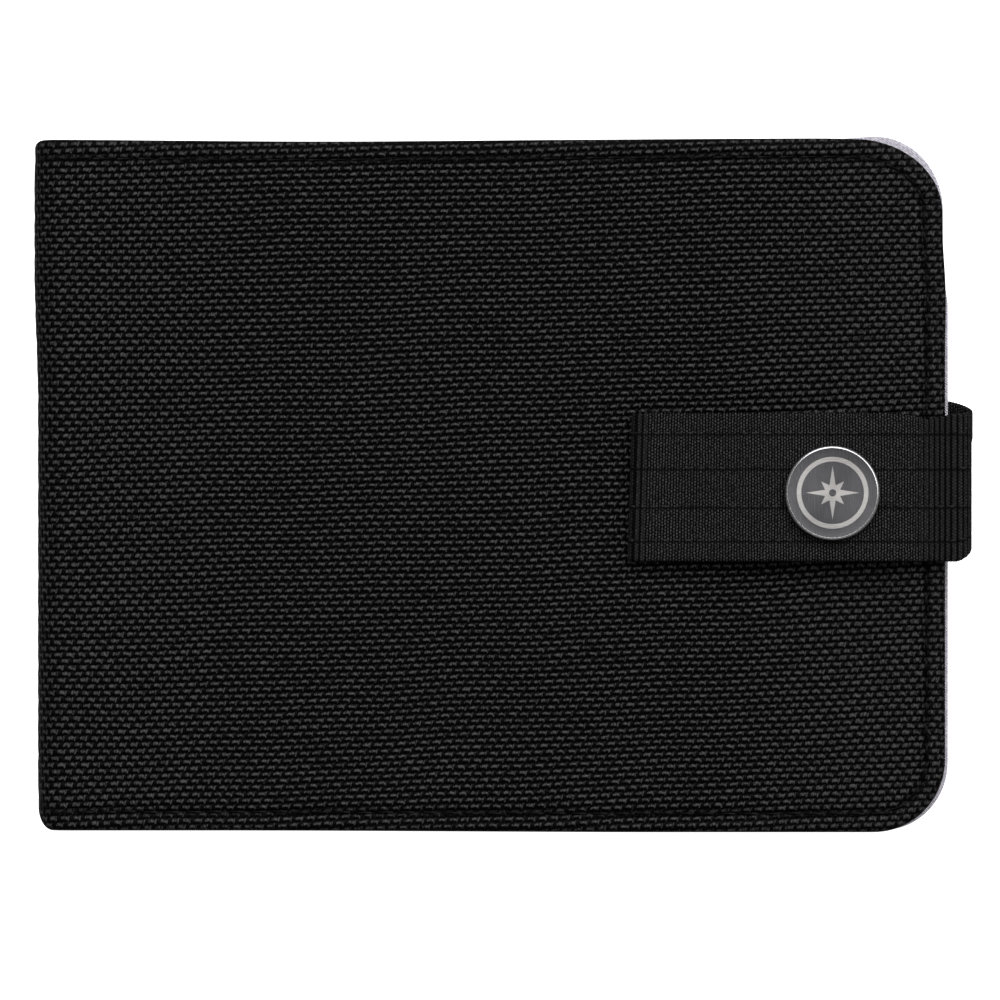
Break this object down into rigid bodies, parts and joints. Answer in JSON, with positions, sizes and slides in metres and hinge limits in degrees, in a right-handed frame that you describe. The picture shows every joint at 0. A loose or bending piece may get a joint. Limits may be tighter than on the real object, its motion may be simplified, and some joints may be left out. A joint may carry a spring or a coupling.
{
  "type": "passport holder wallet",
  "caption": "Bifold fabric travel wallet, closed: two stiffened covers joined by a soft fold, passport pocket, card slots and a webbing strap with a snap.",
  "frame": {"origin": "middle of the closed wallet's footprint, on the surface that it lies on", "axes": "+X from the fold to the open edge, +Y up the cover, +Z out of the front cover"},
  "size_m": [0.1446, 0.1066, 0.0181],
  "materials": {
    "ballistic_nylon": "matt woven, slight sheen on the floats",
    "pocket_nylon": "matt woven",
    "lining_twill": "matt twill",
    "binding_tape": "ribbed tape",
    "strap_webbing": "ribbed webbing",
    "stiffener_board": "matt",
    "snap_metal": "satin"
  },
  "bodies": {
    "back_half": {"back_cover_shell": "ballistic_nylon", "back_stiffener": "stiffener_board", "back_lining": "lining_twill", "passport_pocket": "pocket_nylon", "passport_pocket_binding": "binding_tape", "strap_tail": "strap_webbing"},
    "spine": {"spine_cover": "ballistic_nylon", "spine_lining": "lining_twill"},
    "front_half": {"front_cover_shell": "ballistic_nylon", "front_stiffener": "stiffener_board", "front_lining": "lining_twill", "banknote_divider": "pocket_nylon", "banknote_divider_binding": "binding_tape", "card_slot_1": "pocket_nylon", "card_slot_1_binding": "binding_tape", "card_slot_2": "pocket_nylon", "card_slot_2_binding": "binding_tape", "card_slot_3": "pocket_nylon", "card_slot_3_binding": "binding_tape", "snap_stud": "snap_metal", "stud_backing": "snap_metal"},
    "strap_loop": {"strap_bridge": "strap_webbing"},
    "strap_end": {"strap_flap": "strap_webbing", "snap_cap": "snap_metal", "snap_socket": "snap_metal", "snap_spring": "snap_metal"}
  },
  "joints": [
    {"name": "fold_lower", "type": "hinge", "parent": "back_half", "child": "spine", "pos_m": [-0.07081, 0, 0.00147], "axis": [0, -1, 0], "range_deg": [0, 89]},
    {"name": "fold_upper", "type": "hinge", "parent": "spine", "child": "front_half", "pos_m": [-0.07081, 0, 0.01093], "axis": [0, -1, 0], "range_deg": [0, 89]},
    {"name": "strap_lower_bend", "type": "hinge", "parent": "back_half", "child": "strap_loop", "pos_m": [0.07118, 0, 0.00229], "axis": [0, 1, 0], "range_deg": [0, 85]},
    {"name": "strap_upper_bend", "type": "hinge", "parent": "strap_loop", "child": "strap_end", "pos_m": [0.07118, 0, 0.01336], "axis": [0, 1, 0], "range_deg": [0, 85]}
  ],
  "couplings": [
    {"joint": "fold_upper", "follows": "fold_lower", "ratio": 1}
  ]
}
